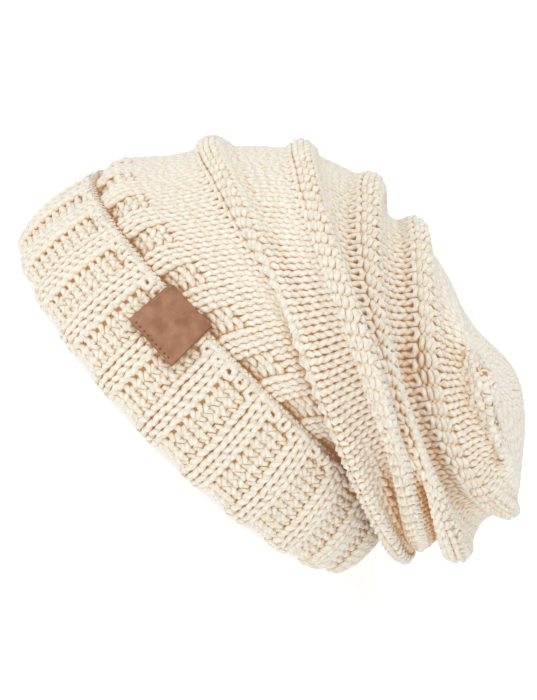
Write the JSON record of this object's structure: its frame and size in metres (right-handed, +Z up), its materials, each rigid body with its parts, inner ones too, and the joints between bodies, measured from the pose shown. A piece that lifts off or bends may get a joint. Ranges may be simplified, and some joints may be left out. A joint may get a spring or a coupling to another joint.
{
  "type": "slouchy beanie",
  "caption": "Slouchy knitted beanie with a turned-up ribbed brim, raised purl welts that bunch at the rear, and a small blank leather patch folded over the brim's edge.",
  "frame": {"origin": "under the middle of the hat's box, on the surface that its rim stands on", "axes": "+X from the front of the hat to the slouch at the rear, +Y across the head to the side without the patch, +Z up from the rim to the crown"},
  "size_m": [0.2646, 0.2076, 0.1486],
  "materials": {
    "crown_yarn": "cream chunky plied acrylic yarn, knitted in stockinette with raised purl welts",
    "cuff_yarn": "cream chunky plied acrylic yarn, knitted in two by two rib",
    "leather": "matte tan leather, blank, with a cut edge and a row of stitch holes"
  },
  "bodies": {
    "root": {"crown": "crown_yarn", "cuff": "cuff_yarn", "leather_patch": "leather"}
  },
  "joints": []
}
